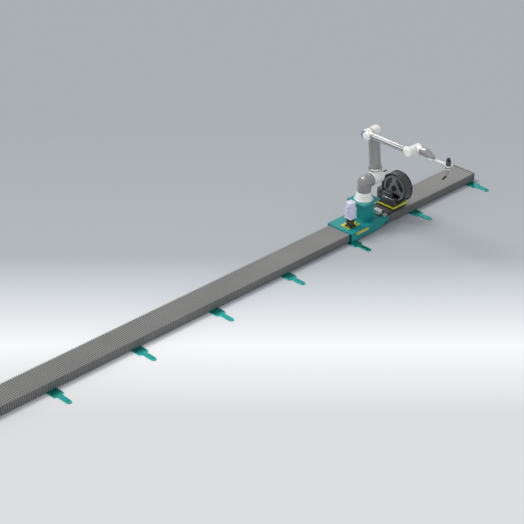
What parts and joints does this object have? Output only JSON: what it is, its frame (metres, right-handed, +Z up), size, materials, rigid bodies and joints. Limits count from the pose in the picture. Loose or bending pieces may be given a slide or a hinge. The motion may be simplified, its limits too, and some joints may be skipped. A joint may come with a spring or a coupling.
{
  "type": "robot linear track",
  "caption": "Floor-mounted linear track with bellows covers and a driven carriage that carries a six-axis arm with a welding torch and a wire feeder.",
  "frame": {"origin": "middle of the track on the floor, at the centre of its floor plate pattern", "axes": "+X along the track towards its far end, +Y across it to the back, +Z up"},
  "size_m": [7.18, 1.4381, 1.1236],
  "materials": {
    "teal_paint": "satin teal powder coat",
    "teal_floor": "satin teal powder coat on floor plate",
    "extrusion": "clear anodised aluminium",
    "ground_steel": "ground steel",
    "gear_steel": "oiled machined steel",
    "zinc_steel": "zinc plated steel",
    "bellows_cloth": "grey coated cloth",
    "black_paint": "black paint",
    "black_rubber": "black rubber",
    "yellow_paint": "yellow chromate and paint",
    "strip_plastic": "amber plastic",
    "gearbox_metal": "dark burnished steel",
    "motor_paint": "pale lavender paint",
    "white_housing": "white enamel on cast aluminium",
    "grey_housing": "grey satin cast aluminium",
    "silver_ring": "turned aluminium",
    "blue_cap": "blue grey plastic",
    "black_plastic": "black plastic",
    "dark_plastic": "dark grey plastic",
    "wire": "copper coated welding wire",
    "white_plastic": "white plastic",
    "bright_steel": "bright steel"
  },
  "bodies": {
    "track": {"floor_plates": "teal_floor", "bed_profile": "extrusion", "bed_clamps": "zinc_steel", "guide_rail_front": "ground_steel", "guide_rail_back": "ground_steel", "gear_rack": "gear_steel", "rack_screws": "zinc_steel", "bellows_near": "bellows_cloth", "bellows_far": "bellows_cloth", "end_plate_near": "black_paint", "end_plate_far": "black_paint", "end_stops": "black_paint", "stop_buffers": "black_rubber"},
    "carriage": {"carriage_plate": "teal_paint", "front_skirt": "teal_paint", "back_skirt": "teal_paint", "guide_blocks": "ground_steel", "block_spacers": "extrusion", "bellows_flanges": "teal_paint", "stop_lugs": "zinc_steel", "side_strip": "strip_plastic", "motor_plate": "yellow_paint", "gearbox": "gearbox_metal", "servo_motor": "motor_paint", "motor_plugs": "motor_paint", "pedestal": "teal_paint", "robot_base": "white_housing", "feeder_bracket": "zinc_steel", "tray_dampers": "black_rubber", "feeder_tray": "yellow_paint", "feeder_base": "dark_plastic", "wire_drive": "black_plastic", "wire_drum": "dark_plastic", "junction_box": "white_plastic", "limit_switch": "black_plastic"},
    "pinion": {"pinion": "gear_steel"},
    "spool": {"wire_spool": "black_plastic", "wire_winding": "wire", "spool_knob": "black_plastic"},
    "shoulder": {"shoulder_housing": "grey_housing"},
    "upper_arm": {"upper_arm_lower_housing": "white_housing", "upper_arm_ring": "silver_ring", "upper_arm_tube": "grey_housing", "upper_arm_elbow_housing": "white_housing", "arm_connector": "black_plastic"},
    "forearm": {"forearm_elbow_housing": "white_housing", "forearm_cap": "blue_cap", "forearm_tube": "silver_ring", "forearm_wrist_housing": "white_housing"},
    "wrist_1": {"wrist_1_housing": "white_housing"},
    "wrist_2": {"wrist_2_housing": "grey_housing"},
    "tool": {"tool_flange": "silver_ring", "torch_bracket": "silver_ring", "torch_body": "dark_plastic", "torch_cap": "black_plastic", "torch_ring": "white_plastic", "torch_neck": "bright_steel", "torch_nozzle": "gear_steel"}
  },
  "joints": [
    {"name": "carriage_slide", "type": "slide", "parent": "track", "child": "carriage", "axis": [1, 0, 0], "range_m": [-4.218, 1.255], "deforming": ["bellows_near", "bellows_far"]},
    {"name": "pinion_spin", "type": "hinge", "parent": "carriage", "child": "pinion", "pos_m": [1.587, -0.055, 0.056], "axis": [0, 0, 1], "range_deg": [-6100, 1850]},
    {"name": "spool_spin", "type": "hinge", "parent": "carriage", "child": "spool", "pos_m": [2.272, -0.107, 0.373], "axis": [1, 0, 0], "continuous": true},
    {"name": "base_turn", "type": "hinge", "parent": "carriage", "child": "shoulder", "pos_m": [1.851, 0, 0.435], "axis": [0, 0, 1], "range_deg": [-170, 170]},
    {"name": "shoulder_lift", "type": "hinge", "parent": "shoulder", "child": "upper_arm", "pos_m": [1.941, 0, 0.541], "axis": [1, 0, 0], "range_deg": [-60, 30]},
    {"name": "elbow_bend", "type": "hinge", "parent": "upper_arm", "child": "forearm", "pos_m": [1.969, 0.04978, 1.06765], "axis": [1, 0, 0], "range_deg": [-120, 25]},
    {"name": "wrist_bend", "type": "hinge", "parent": "forearm", "child": "wrist_1", "pos_m": [1.984, -0.54318, 1.06144], "axis": [1, 0, 0], "range_deg": [-90, 15]},
    {"name": "wrist_roll", "type": "hinge", "parent": "wrist_1", "child": "wrist_2", "pos_m": [2.031, -0.61118, 1.06144], "axis": [0, -1, 0], "range_deg": [-90, 90]},
    {"name": "tool_turn", "type": "hinge", "parent": "wrist_2", "child": "tool", "pos_m": [2.031, -0.74318, 1.03344], "axis": [0, 0, 1], "range_deg": [-110, 110]}
  ],
  "couplings": [
    {"joint": "pinion_spin", "follows": "carriage_slide", "rad_per_m": 25}
  ]
}
